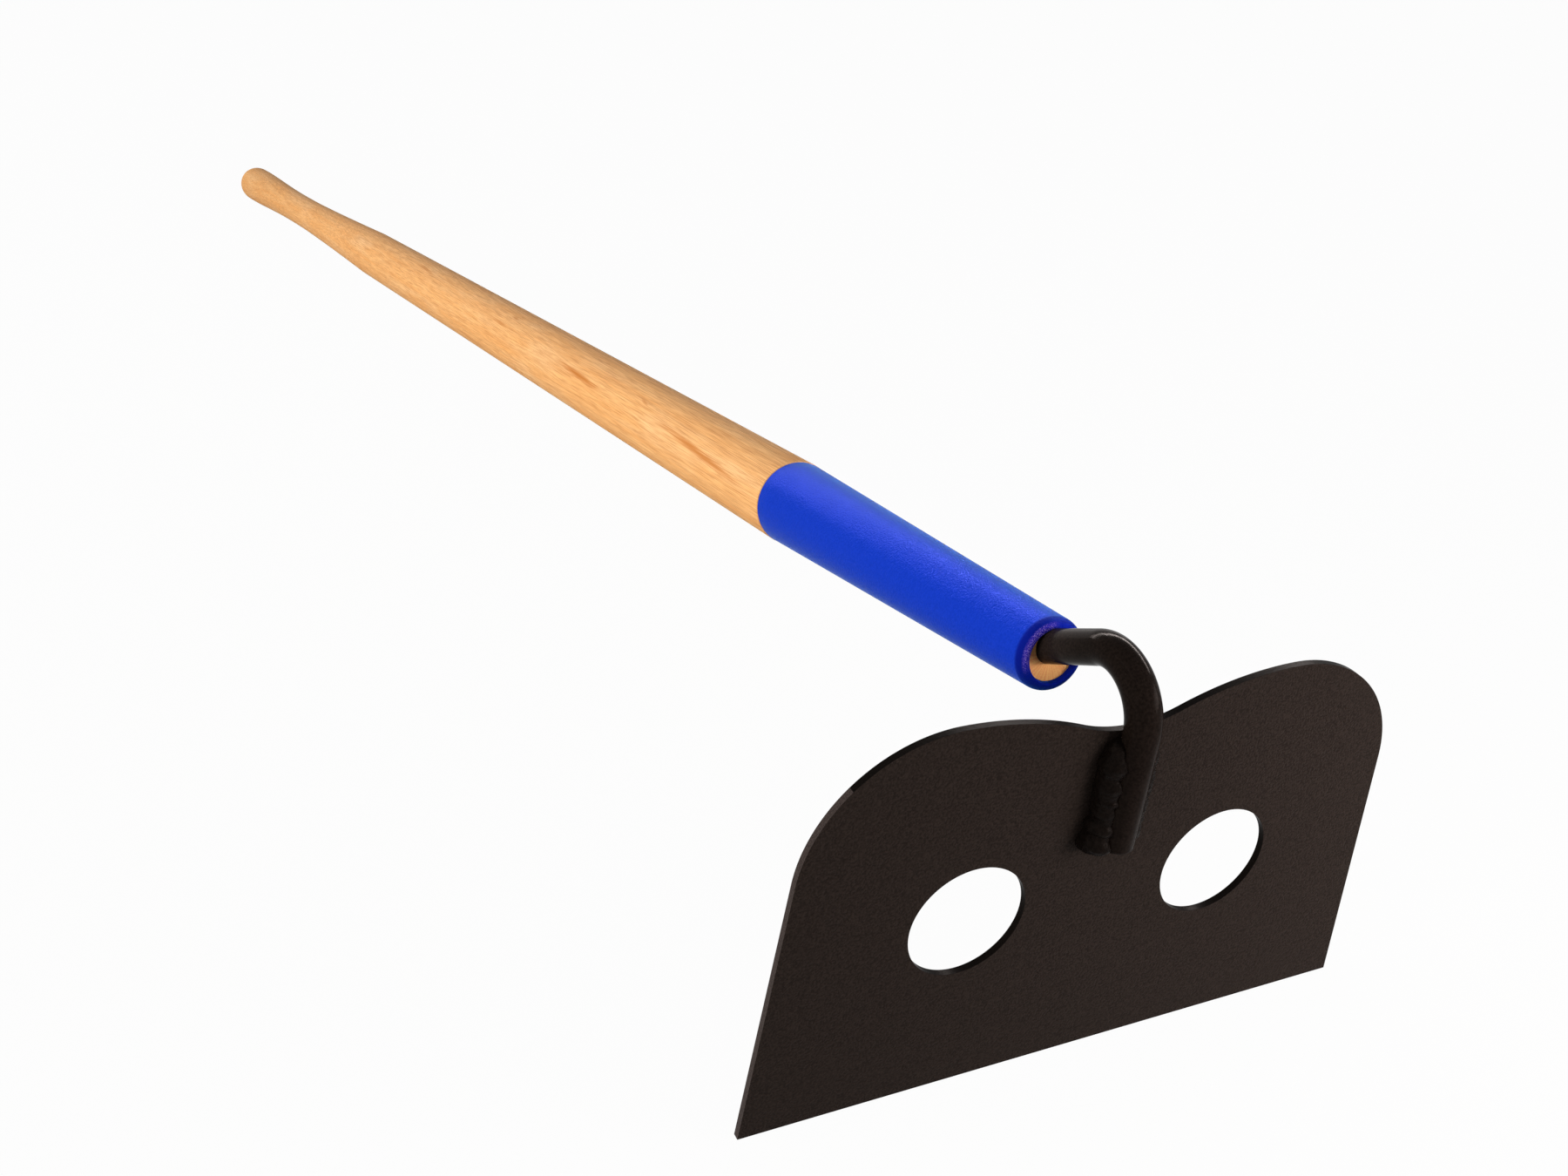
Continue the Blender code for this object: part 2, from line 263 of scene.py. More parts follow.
def cut_away(piece, tool):
    """Cut a tool's whole shape out of a piece, and put the tool away."""
    apply_modifier(piece, "BOOLEAN", operation="DIFFERENCE", solver="EXACT", object=tool)
    bpy.data.objects.remove(tool)


def only(piece):
    """Leave edit mode and make a piece the only selected and active one."""
    if bpy.context.object and bpy.context.object.mode == "EDIT":
        bpy.ops.object.mode_set(mode="OBJECT")
    bpy.ops.object.select_all(action="DESELECT")
    piece.select_set(True)
    bpy.context.view_layer.objects.active = piece


def hand_over(piece, place, node):
    """Bring a finished piece to its place, which stays in its mesh, and give it to the frame."""
    only(piece)
    piece.matrix_world = place
    bpy.ops.object.transform_apply(location=True, rotation=True, scale=True)
    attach(piece, "root")
    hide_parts(node)
    bpy.ops.object.select_all(action="DESELECT")


lobe_z = BLADE_HEIGHT - LOBE_RADIUS
lobe_x = (
    BLADE_WIDTH / 2 - (LOBE_RADIUS + lobe_z * math.sin(SIDE_TAPER)) / math.cos(SIDE_TAPER)
)
# From a lobe's top the edge falls by one arc and runs out level in the dip by another.
fall_turn = 2 * math.atan2(DIP_DEPTH, lobe_x)
fall_radius = lobe_x / math.sin(fall_turn) - DIP_RADIUS
dip_z = BLADE_HEIGHT - DIP_DEPTH
side_top_x = lobe_x + LOBE_RADIUS * math.cos(SIDE_TAPER)
side_top_z = lobe_z + LOBE_RADIUS * math.sin(SIDE_TAPER)
blade = start_point("hoe_blade", (0.0, 0.0, 0.0))
pull(x=BLADE_WIDTH / 2)
pull(x=side_top_x - BLADE_WIDTH / 2, z=side_top_z)
for steps, turn, centre in (
    (LOBE_STEPS, SIDE_TAPER - math.pi / 2, (lobe_x, 0.0, lobe_z)),
    (FALL_STEPS, -fall_turn, (lobe_x, 0.0, BLADE_HEIGHT - fall_radius)),
    (DIP_STEPS, fall_turn, (0.0, 0.0, dip_z + DIP_RADIUS)),
):
    sweep(steps, turn, centre, (0.0, 1.0, 0.0))
apply_modifier(blade, "MIRROR", merge_threshold=MERGE_REACH)
bpy.ops.object.mode_set(mode="EDIT")
bpy.ops.mesh.select_all(action="SELECT")
bpy.ops.mesh.edge_face_add()
pull(y=BLADE_THICKNESS)
face_outwards()
bpy.ops.object.mode_set(mode="OBJECT")
for side in (-1, 1):
    bpy.ops.mesh.primitive_cylinder_add(
        vertices=HOLE_SIDES,
        radius=HOLE_RADIUS,
        depth=BLADE_THICKNESS * 3,
        location=(side * HOLE_SPACING / 2, BLADE_THICKNESS / 2, HOLE_HEIGHT),
        rotation=(math.pi / 2, 0.0, 0.0),
    )
    cut_away(blade, bpy.context.object)
apply_modifier(
    blade,
    "BEVEL",
    width=RIM_ROUND,
    segments=RIM_STEPS,
    limit_method="ANGLE",
    angle_limit=RIM_ANGLE,
)
only(blade)
bpy.ops.object.shade_smooth()
apply_modifier(blade, "WEIGHTED_NORMAL", mode="FACE_AREA", weight=80)

for name, colour, gloss, grain, roughness, relief in (
    ("blade_paint", PAINT_COLOUR, 0.015, PAINT_GRAIN, 0.5, 1.0),
    ("rim_shade_paint", RIM_SHADE_COLOUR, 0.007, RIM_GRAIN, 0.3, 0.3),
    ("side_reflection_paint", SIDE_REFLECTION_COLOUR, 0.012, RIM_GRAIN, 0.4, 0.3),
):
    blade.data.materials.append(black_paint(name, colour, gloss, grain, roughness, relief))
FACE_PAINT, PAINTED_SHADE_RIMS, PAINTED_REFLECTION_SIDES = range(3)
# Faces get the plain paint, the side edges the painted reflection and the other rims the painted
# shade.
for face in blade.data.polygons:
    if abs(face.normal.y) > FRONT_FACING:
        face.material_index = FACE_PAINT
    elif abs(face.center.x) > lobe_x + LOBE_RADIUS / 2 and abs(face.normal.x) > SIDE_FACING:
        face.material_index = PAINTED_REFLECTION_SIDES
    else:
        face.material_index = PAINTED_SHADE_RIMS
hand_over(blade, stance, "blade")


# The neck: one round steel bar, bent cold at two places. Its tang sits in the handle, and its
# lower end, flat at the back and cut off square, lies on the blade's front. Towards the handle
# its paint is painted a little paler, as painted light.
ROD_RADIUS = 0.00625
ROD_SIDES = 64
ROD_Y = -0.00425
LAP_END_Z = 0.0961
LAP_PRESS = 0.0001
SLOPE = math.radians(11.27)
AXIS_Z = dip_z + 0.0082
WOOD_FACE = 0.0499
CORNER = WOOD_FACE + 0.0088
TANG_END = WOOD_FACE + 0.115
NECK_RISE = math.radians(19.05)
SMALL_BEND = 0.018
BIG_BEND = 0.0192
BEND_STEP = 2.0
FEWEST_STEPS = 6
END_ROUND = 0.0012
END_STEPS = 5
ROD_SMOOTH = math.radians(35)
ROD_GRAIN = 0.0009
ROD_COLOUR = (0.0080, 0.0056, 0.0047)
# The paler colour towards the handle is painted light.
ROD_PAINTED_LIGHT = (0.0150, 0.0108, 0.0098)
PAINTED_LIGHT_FROM = -0.832
PAINTED_LIGHT_TO = -0.815


def heading(angle):
    """The direction in the plane X = 0 that lies an angle above +Y."""
    return Vector((0.0, math.cos(angle), math.sin(angle)))


def on_line(distance):
    """The place on the handle's line at a distance from the blade."""
    return Vector((0.0, distance * math.cos(SLOPE), AXIS_Z - distance * math.sin(SLOPE)))


def bend(centre_side, radius, turn, place, angle):
    """Spin the bar's open end about a former and return where the end now is and points."""
    centre = place + heading(angle + math.pi / 2) * radius * centre_side
    steps = max(FEWEST_STEPS, round(math.degrees(turn) / BEND_STEP))
    sweep(steps, turn * centre_side, centre, (1.0, 0.0, 0.0))
    after = angle + turn * centre_side
    return centre - heading(after + math.pi / 2) * radius * centre_side, after


def pick(piece, kind, rule):
    """In edit mode, select only the verts or edges that a rule accepts."""
    bpy.ops.object.mode_set(mode="EDIT")
    bpy.ops.mesh.select_mode(type=kind)
    bpy.ops.mesh.select_all(action="DESELECT")
    mesh = bmesh.from_edit_mesh(piece.data)
    for item in mesh.verts if kind == "VERT" else mesh.edges:
        if rule(item):
            item.select_set(True)
    mesh.select_flush_mode()
    bmesh.update_edit_mesh(piece.data)


# The bar runs from the tang's end up the handle's line, rises at the small bend, and turns down
# along the blade at the big one.
towards = math.pi - SLOPE
climbing = towards - NECK_RISE
big_turn = 1.5 * math.pi - climbing
to_elbow = (ROD_Y - on_line(CORNER).y) / math.cos(climbing)
small_reach = SMALL_BEND * math.tan(NECK_RISE / 2)
big_reach = BIG_BEND * math.tan(big_turn / 2)
place = on_line(TANG_END)
bpy.ops.mesh.primitive_circle_add(
    vertices=ROD_SIDES,
    radius=ROD_RADIUS,
    fill_type="NGON",
    location=place,
    rotation=(math.pi / 2 - SLOPE, 0.0, 0.0),
)
neck = bpy.context.object
neck.name = "hoe_neck"
bpy.ops.object.transform_apply(location=True, rotation=True, scale=True)
bpy.ops.object.mode_set(mode="EDIT")
bpy.ops.mesh.select_mode(type="FACE")
bpy.ops.mesh.select_all(action="SELECT")
step = heading(towards) * (TANG_END - CORNER - small_reach)
pull(*step)
place, angle = bend(-1, SMALL_BEND, NECK_RISE, place + step, towards)
step = heading(angle) * (to_elbow - small_reach - big_reach)
pull(*step)
place, angle = bend(1, BIG_BEND, big_turn, place + step, angle)
pull(z=LAP_END_Z - place.z)
face_outwards()
pick(neck, "EDGE", lambda edge: all(vert.co.z < LAP_END_Z + MERGE_REACH for vert in edge.verts))
bpy.ops.mesh.bevel(offset=END_ROUND, segments=END_STEPS, profile=0.5)
bpy.ops.object.mode_set(mode="OBJECT")

# A block behind the lap cuts its flat.
lap_height = dip_z - LAP_END_Z
bpy.ops.mesh.primitive_cube_add(size=1.0, location=(0.0, 0.0, 0.0))
block = bpy.context.object
block.scale = (ROD_RADIUS * 4, ROD_RADIUS * 2, lap_height * 2)
block.location = (0.0, ROD_RADIUS + LAP_PRESS, dip_z - lap_height)
bpy.ops.object.transform_apply(location=True, rotation=True, scale=True)
cut_away(neck, block)
only(neck)
bpy.ops.object.shade_smooth_by_angle(angle=ROD_SMOOTH)
neck.data.materials.append(
    black_paint(
        "rod_paint",
        ROD_COLOUR,
        gloss=0.013,
        grain=ROD_GRAIN,
        roughness=0.16,
        relief=0.08,
        painted_light=(ROD_PAINTED_LIGHT, PAINTED_LIGHT_FROM, PAINTED_LIGHT_TO),
    )
)
hand_over(neck, stance, "neck")


# The weld: one bead of steel laid by hand on each side of the lap, puddle after puddle from the
# foot up, so that it is lumpy. The puddles are melted together into one skin, under the same
# paint as the bar.
BEAD_FOOT = 0.0950
BEAD_BITE = 0.0009
CREST_LEAN = math.radians(40)
PUDDLE_RISE = 0.0002
PUDDLE_DEPTH = 0.0044
PUDDLE_WIDTH_SHARE = 0.56
PUDDLE_TILT = math.radians(9)
PUDDLE_SIDES = 32
PUDDLE_RINGS = 16
PUDDLE_CELL = 0.0003
MELT_PASSES = 3
LUMP_SIZE = 0.0022
LUMP_HEIGHT = 0.0005
WELD_GRAIN = 0.0011
WELD_COLOUR = (0.0046, 0.0033, 0.0028)
# Each puddle's middle and half its length up the bar, and how far it bites into the bar.
PUDDLES = (
    (0.0985, 0.0038, 0.0002),
    (0.1050, 0.0034, 0.0003),
    (0.1111, 0.0038, 0.0002),
    (0.1162, 0.0024, 0.0006),
    (0.1216, 0.0042, 0.0001),
    (0.1290, 0.0060, -0.0004),
    (0.1345, 0.0036, -0.0002),
)

for side_name, side in (("left", -1), ("right", 1)):
    bead = frame["nodes"]["weld_" + side_name].copy()
    bead.data = bead.data.copy()
    bead.name = "hoe_bead_" + side_name
    bpy.context.collection.objects.link(bead)
    bead.parent = None
    bead.data.materials.clear()
    only(bead)
    bpy.ops.object.mode_set(mode="EDIT")
    bpy.ops.mesh.select_all(action="SELECT")
    bpy.ops.mesh.remove_doubles(threshold=MERGE_REACH)
    bpy.ops.mesh.bisect(
        plane_co=stance @ Vector((0.0, 0.0, BEAD_FOOT)),
        plane_no=stance.to_3x3() @ Vector((0.0, 0.0, 1.0)),
        use_fill=True,
        clear_inner=True,
    )
    bpy.ops.object.mode_set(mode="OBJECT")
    upright = [stance.inverted() @ vert.co for vert in bead.data.vertices]
    outwards = Vector((side * math.cos(CREST_LEAN), -math.sin(CREST_LEAN), 0.0))
    to_bar = Vector((-side * math.sin(CREST_LEAN), -math.cos(CREST_LEAN), 0.0))
    facing = Matrix.Rotation(math.atan2(outwards.y, outwards.x), 4, "Z")
    tilt = Matrix.Rotation(side * PUDDLE_TILT, 4, "X")
    puddles = []
    for z, half_length, bite in PUDDLES:
        ring = [point for point in upright if abs(point.z - z) < half_length]
        crest = max(point.dot(outwards) for point in ring)
        edges = [point.dot(to_bar) for point in ring]
        middle = (min(edges) + max(edges)) / 2 + bite
        centre = outwards * (crest + PUDDLE_RISE - PUDDLE_DEPTH) + to_bar * middle
        centre.z = z
        half_width = (max(edges) - min(edges)) * PUDDLE_WIDTH_SHARE
        scale = Matrix.Diagonal((PUDDLE_DEPTH, half_width, half_length, 1.0))
        bpy.ops.mesh.primitive_uv_sphere_add(
            segments=PUDDLE_SIDES, ring_count=PUDDLE_RINGS, radius=1.0
        )
        puddle = bpy.context.object
        puddle.matrix_world = stance @ Matrix.Translation(centre) @ facing @ tilt @ scale
        puddles.append(puddle)
    only(bead)
    bpy.ops.object.mode_set(mode="EDIT")
    bpy.ops.mesh.select_all(action="SELECT")
    bpy.ops.mesh.duplicate_move(
        TRANSFORM_OT_translate={"value": (-side * BEAD_BITE, BEAD_BITE / 2, 0.0)}
    )
    bpy.ops.object.mode_set(mode="OBJECT")
    for puddle in puddles:
        puddle.select_set(True)
    bpy.ops.object.join()
    apply_modifier(bead, "REMESH", mode="VOXEL", voxel_size=PUDDLE_CELL)
    apply_modifier(bead, "SMOOTH", factor=0.5, iterations=MELT_PASSES)
    lumps = bpy.data.textures.new("weld_lumps_" + side_name, "CLOUDS")
    lumps.noise_scale = LUMP_SIZE
    apply_modifier(bead, "DISPLACE", texture=lumps, strength=LUMP_HEIGHT, mid_level=0.3)
    only(bead)
    bpy.ops.object.shade_smooth()
    bead.data.materials.append(
        black_paint(
            "weld_paint_" + side_name,
            WELD_COLOUR,
            gloss=0.022,
            grain=WELD_GRAIN,
            roughness=0.26,
            relief=0.6,
        )
    )
    hand_over(bead, Matrix.Identity(4), "weld_" + side_name)


# The ferrule: a tapered steel sleeve, driven on the handle's front end and rolled in to a thick
# round lip at its mouth. It is powder coated in deep blue, which dries like fine leather.
MOUTH = 0.0475
FERRULE_END = 0.250
FERRULE_WALL = 0.0012
MOUTH_RADIUS = 0.0135
BACK_RADIUS = 0.0189
LIP_OPENING = 0.0097
LIP_CREST = 0.01035
LIP_THICKNESS = 0.0021
LIP_ROUND = 0.0043
EDGE_ROUND = 0.0003
EDGE_STEPS = 3
TAPER_RINGS = 24
LIP_STEPS = 14
LIP_INNER_STEPS = 8
LATHE_STEPS = 128
LATHE_MERGE = 0.000002
LATHE_SMOOTH = math.radians(40)
LEATHER_GRAIN = 0.0009
FINE_GRAIN = 0.0005
SPARKLE_GRAIN = 0.00035
COAT_RELIEF = 0.0003
# The hollows' colour is the darker one, as painted shade.
COAT_SHADED_HOLLOWS = (0.0050, 0.034, 0.49)
COAT_HILL = (0.0075, 0.041, 0.57)
COAT_SHINE = (0.85, 0.88, 1.0)
COAT_SHEEN = (0.02, 0.36, 1.0)
# The lip's navy is painted shade; the ring's violet and its pale specks are painted highlight.
LIP_SHADE_COLOUR = (0.0025, 0.0050, 0.20)
RING_HIGHLIGHT_COLOUR = (0.034, 0.020, 0.40)
SPECK_HIGHLIGHT_COLOUR = (0.32, 0.22, 0.74)
# Where the lip's painted shade and the ring's painted highlight fade out along the handle, and
# the ring's fade across.
NAVY_FADE = (MOUTH + 0.0050, MOUTH + 0.0030)
RING_HIGHLIGHT_FADE = (MOUTH + 0.0040, MOUTH + 0.0030)
RING_HIGHLIGHT_RADII = (0.0128, 0.0120)

# The handle's own line: its local Z runs from the blade to the butt, its local -Y is up.
handle_line = (
    stance
    @ Matrix.Translation((0.0, 0.0, AXIS_Z))
    @ Matrix.Rotation(-(math.pi / 2 + SLOPE), 4, "X")
)


def on_handle(finish):
    """Where a point lies from the handle's line: across it, below it and along it."""
    sockets = {
        "Vector": finish.place(),
        "Location": handle_line.translation,
        "Rotation": handle_line.to_euler(),
    }
    return finish.node("ShaderNodeMapping", {"vector_type": "TEXTURE"}, sockets)


def ferrule_radius(distance):
    """The sleeve's outer radius at a distance along the handle's line."""
    share = (distance - MOUTH) / (FERRULE_END - MOUTH)
    return MOUTH_RADIUS + (BACK_RADIUS - MOUTH_RADIUS) * share


def evenly(start, end, steps):
    """Values at even steps from a start to an end, both included."""
    return [start + (end - start) * step / steps for step in range(steps + 1)]


def oval(centre, radii, start, end, steps):
    """Points on an oval arc between two angles in degrees."""
    angles = [math.radians(angle) for angle in evenly(start, end, steps)]
    return [
        (centre[0] + radii[0] * math.cos(angle), centre[1] + radii[1] * math.sin(angle))
        for angle in angles
    ]


def draw(points):
    """Extrude the selected point from place to place in the plane Y = 0."""
    for (x, z), (next_x, next_z) in zip(points, points[1:]):
        pull(x=next_x - x, z=next_z - z)


def turn_on_lathe(piece):
    """Spin a profile, drawn in the plane Y = 0 at +X, once about the Z axis."""
    only(piece)
    bpy.ops.object.mode_set(mode="EDIT")
    bpy.ops.mesh.select_all(action="SELECT")
    sweep(LATHE_STEPS, 2 * math.pi, (0.0, 0.0, 0.0), (0.0, 0.0, 1.0))
    bpy.ops.mesh.select_all(action="SELECT")
    bpy.ops.mesh.remove_doubles(threshold=LATHE_MERGE)
    face_outwards()
    bpy.ops.object.mode_set(mode="OBJECT")
    bpy.ops.object.shade_smooth_by_angle(angle=LATHE_SMOOTH)


# The profile goes from the lip's inner edge along the inside to the back, round it, down the
# outside, and round the rolled lip.
seat = MOUTH + LIP_THICKNESS
shoulder = MOUTH + LIP_ROUND
back_edge = FERRULE_END - EDGE_ROUND
back = ferrule_radius(FERRULE_END)
outer_round = (ferrule_radius(shoulder) - LIP_CREST, LIP_ROUND)
inner_round = (LIP_CREST - LIP_OPENING, LIP_THICKNESS)
section = [
    (LIP_OPENING, seat),
    (ferrule_radius(seat) - FERRULE_WALL, seat),
    (back - FERRULE_WALL, FERRULE_END),
    (back - EDGE_ROUND, FERRULE_END),
]
edge_round = (EDGE_ROUND, EDGE_ROUND)
section += oval((back - EDGE_ROUND, back_edge), edge_round, 90.0, 0.0, EDGE_STEPS)[1:]
for distance in evenly(back_edge, shoulder, TAPER_RINGS)[1:]:
    section.append((ferrule_radius(distance), distance))
section += oval((LIP_CREST, shoulder), outer_round, 0.0, -90.0, LIP_STEPS)[1:]
section += oval((LIP_CREST, seat), inner_round, -90.0, -180.0, LIP_INNER_STEPS)[1:-1]
ferrule = start_point("hoe_ferrule", (section[0][0], 0.0, section[0][1]))
draw(section)
pick(ferrule, "VERT", lambda vert: len(vert.link_edges) == 1)
bpy.ops.mesh.edge_face_add()
turn_on_lathe(ferrule)

coat = Finish(bpy.data.materials.new("blue_coat"))
sleeve = on_handle(coat)
leather = coat.noise(sleeve, LEATHER_GRAIN, distortion=0.4)
fine = coat.noise(sleeve, FINE_GRAIN, detail=1.0)
# Painted shade: the coat is darker in the hollows of its leather than on the hills.
tint = coat.blend(coat.spread(leather, 0.25, 0.75), COAT_SHADED_HOLLOWS, COAT_HILL)
# The rolled lip is painted dark navy, as painted shade. On the upper left of its mouth a violet
# ring with pale specks is painted on, as a painted highlight.
across = coat.part(sleeve, "X")
down = coat.part(sleeve, "Y")
along = coat.part(sleeve, "Z")
cross_place = coat.vector("MULTIPLY", sleeve, (1.0, 1.0, 0.0))
off_line = coat.vector("LENGTH", cross_place, output="Value")
rolled = coat.spread(along, *NAVY_FADE)
on_ring = coat.spread(off_line, *RING_HIGHLIGHT_RADII) * coat.spread(along, *RING_HIGHLIGHT_FADE)
upper_left = coat.spread((-0.60 * down - 0.80 * across) / MOUTH_RADIUS, 0.35, 0.85)
sparkle = coat.spread(coat.noise(sleeve, SPARKLE_GRAIN, detail=1.0), 0.48, 0.68)
ring_highlight = on_ring * upper_left
tint = coat.blend(0.85 * rolled, tint, LIP_SHADE_COLOUR)
tint = coat.blend(0.80 * ring_highlight, tint, RING_HIGHLIGHT_COLOUR)
tint = coat.blend(0.75 * ring_highlight * sparkle, tint, SPECK_HIGHLIGHT_COLOUR)
coat.dress(
    Base_Color=tint,
    Metallic=0.07,
    Roughness=0.21 + 0.08 * fine + 0.25 * rolled,
    Specular_IOR_Level=0.0034,
    Specular_Tint=COAT_SHINE,
    Sheen_Weight=0.30,
    Sheen_Tint=COAT_SHEEN,
    Sheen_Roughness=0.4,
    Normal=coat.bump(leather + 0.2 * fine, 0.75, COAT_RELIEF),
)
ferrule.data.materials.append(coat.owner)
hand_over(ferrule, handle_line, "ferrule")


# The handle: a long turned bar of straight-grained ash, lightly lacquered, with a slim waist for
# the hand and a round butt. Its front end is turned down inside the ferrule and shows its end
# grain in the mouth.
HANDLE_RADIUS = 0.01905
HANDLE_END = WOOD_FACE + 1.6764
GRIP_START = WOOD_FACE + 1.035
WAIST_PLACE = WOOD_FACE + 1.330
WAIST_RADIUS = 0.0151
BUTT_ROUND = 0.017
TAPER_EASE = 1.4
FLARE_EASE = 1.35
SEAT_GAP = 0.0003
STRAIGHT_RINGS = 40
GRIP_RINGS = 40
BUTT_RINGS = 20
GRAIN_LEAN = -0.006
FIBRE_WIDTH = 0.00030
HAIR_WIDTH = 0.00020
STRAND_WIDTH = 0.0034
PATCH_WIDTH = 0.013
DRIFT_WIDTH = 0.030
PORE_WIDTH = 0.0005
WOOD_RELIEF = 0.0002
PITH = (0.034, 0.022, 0.0)
RING_WIDTH = 0.0024
RING_DRIFT = 0.010
PALE = (0.98, 0.66, 0.36)
TAN = (0.93, 0.54, 0.235)
ORANGE = (0.88, 0.45, 0.165)
BROWN = (0.56, 0.245, 0.090)
RUST = (0.56, 0.200, 0.045)
# The end grain's colours are painted pale, as painted light.
END_GRAIN_LIT_DARK = (0.92, 0.38, 0.140)
END_GRAIN_LIT_PALE = (1.0, 0.55, 0.205)
END_FADE = (WOOD_FACE + 0.0012, WOOD_FACE + 0.0002)

dome = HANDLE_END - BUTT_ROUND
shoulder_end = FERRULE_END + SEAT_GAP
straight_start = shoulder_end + EDGE_ROUND
outline = [
    (0.0, WOOD_FACE),
    (ferrule_radius(WOOD_FACE) - FERRULE_WALL - SEAT_GAP, WOOD_FACE),
    (ferrule_radius(shoulder_end) - FERRULE_WALL - SEAT_GAP, shoulder_end),
    (HANDLE_RADIUS - EDGE_ROUND, shoulder_end),
    (HANDLE_RADIUS, straight_start),
]
for distance in evenly(straight_start, GRIP_START, STRAIGHT_RINGS)[1:]:
    outline.append((HANDLE_RADIUS, distance))
for share in evenly(0.0, 1.0, GRIP_RINGS)[1:]:
    eased = 1 - (1 - share) ** TAPER_EASE
    outline.append((
        HANDLE_RADIUS + (WAIST_RADIUS - HANDLE_RADIUS) * eased,
        GRIP_START + (WAIST_PLACE - GRIP_START) * share,
    ))
for share in evenly(0.0, 1.0, GRIP_RINGS)[1:]:
    eased = (1 - math.cos(math.pi * share ** FLARE_EASE)) / 2
    outline.append((
        WAIST_RADIUS + (HANDLE_RADIUS - WAIST_RADIUS) * eased,
        WAIST_PLACE + (dome - WAIST_PLACE) * share,
    ))
outline += oval((0.0, dome), (HANDLE_RADIUS, BUTT_ROUND), 0.0, 90.0, BUTT_RINGS)[1:]
handle = start_point("hoe_handle", (0.0, 0.0, WOOD_FACE))
draw(outline)
turn_on_lathe(handle)

wood = Finish(bpy.data.materials.new("ash"))
spot = on_handle(wood)
leaned = wood.node(
    "ShaderNodeMapping",
    {"vector_type": "POINT"},
    {"Vector": spot, "Rotation": (GRAIN_LEAN, GRAIN_LEAN * 0.6, 0.0)},
)


def stretched(times):
    """Points squeezed along the handle, so that what is drawn on them is that much longer."""
    return wood.vector("MULTIPLY", leaned, (1.0, 1.0, 1.0 / times))


fibre = wood.noise(stretched(80.0), FIBRE_WIDTH, detail=1.5)
hair = wood.noise(stretched(90.0), HAIR_WIDTH, detail=1.0)
strand = wood.noise(stretched(30.0), STRAND_WIDTH, detail=3.0, roughness=0.55, distortion=0.3)
patch = wood.noise(stretched(7.0), PATCH_WIDTH)
drift = wood.noise(stretched(14.0), DRIFT_WIDTH, detail=1.0)
# The year's rings lie round the tree's pith, outside the handle, and drift a little.
from_pith = wood.vector("SUBTRACT", leaned, PITH)
reach = wood.vector(
    "LENGTH", wood.vector("MULTIPLY", from_pith, (1.0, 1.0, 0.0)), output="Value"
)
year = wood.node(
    "ShaderNodeMath", {"operation": "FRACT"}, {0: (reach + RING_DRIFT * drift) / RING_WIDTH}
)
early = 1.0 - wood.spread(year, 0.0, 0.5)
tone = wood.blend(wood.spread(strand, 0.22, 0.70), ORANGE, TAN)
tone = wood.blend(0.50 * wood.spread(patch, 0.46, 0.74), tone, PALE)
tone = wood.blend(0.20 * early, tone, BROWN)
tone = wood.blend(0.56 * wood.spread(fibre, 0.50, 0.35), tone, BROWN)
tone = wood.blend(0.15 * wood.spread(fibre, 0.54, 0.66), tone, PALE)
tone = wood.blend(0.62 * wood.spread(hair, 0.51, 0.35), tone, BROWN)
# The end grain in the mouth is painted paler, as painted light against the shade of the lip and
# the bar round it, with fine rays out of the middle.
depth = wood.part(spot, "Z")
end_grain_light = wood.spread(depth, *END_FADE)
flat_spot = wood.vector("MULTIPLY", spot, (1.0, 1.0, 0.0))
ray = wood.noise(wood.vector("NORMALIZE", flat_spot), 0.075, detail=1.0)
pore = wood.noise(flat_spot, PORE_WIDTH, detail=1.0)
rays = wood.spread(0.6 * ray + 0.4 * pore, 0.38, 0.60)
tone = wood.blend(end_grain_light, tone, wood.blend(rays, END_GRAIN_LIT_DARK, END_GRAIN_LIT_PALE))

# Rays and short flecks that the turning has cut open: each from one place to another, given by
# the distance along the handle and the angle round it, with its width and its strength.
FLECKS = (
    ((0.540, 142.0), (0.455, 153.5), 0.0046, 0.92),
    ((0.380, 144.0), (0.265, 167.0), 0.0048, 0.85),
    ((0.675, 137.5), (0.638, 140.0), 0.0026, 0.60),
    ((0.655, 111.0), (0.637, 114.0), 0.0022, 0.55),
    ((0.410, 128.0), (0.397, 134.0), 0.0020, 0.45),
    ((0.910, 110.0), (0.838, 121.5), 0.0030, 0.45),
    ((1.190, 175.0), (1.158, 182.0), 0.0030, 0.50),
    ((1.530, 155.0), (1.490, 166.0), 0.0035, 0.55),
    ((0.760, 200.0), (0.700, 212.0), 0.0030, 0.50),
    ((0.480, 20.0), (0.415, 33.0), 0.0030, 0.55),
    ((0.900, 330.0), (0.840, 345.0), 0.0030, 0.50),
    ((1.250, 60.0), (1.190, 72.0), 0.0030, 0.45),
)
for start, end, width, strength in FLECKS:
    ends = [
        Vector((
            HANDLE_RADIUS * math.cos(math.radians(angle)),
            -HANDLE_RADIUS * math.sin(math.radians(angle)),
            distance,
        ))
        for distance, angle in (start, end)
    ]
    run = ends[1] - ends[0]
    fleck = wood.node(
        "ShaderNodeMapping",
        {"vector_type": "TEXTURE"},
        {
            "Vector": spot,
            "Location": (ends[0] + ends[1]) / 2,
            "Rotation": run.to_track_quat("Z", "Y").to_euler(),
            "Scale": (width / 2, width / 2, run.length / 2),
        },
    )
    far = wood.vector("LENGTH", fleck, output="Value")
    inside = wood.spread(far + 0.9 * (fibre - 0.5), 1.2, 0.15)
    tone = wood.blend(strength * inside, tone, RUST)
wood.dress(
    Base_Color=tone,
    Roughness=0.48 + 0.16 * fibre,
    Specular_IOR_Level=0.005,
    Normal=wood.bump(fibre + 0.5 * hair, 0.25, WOOD_RELIEF),
)
handle.data.materials.append(wood.owner)
hand_over(handle, handle_line, "handle")


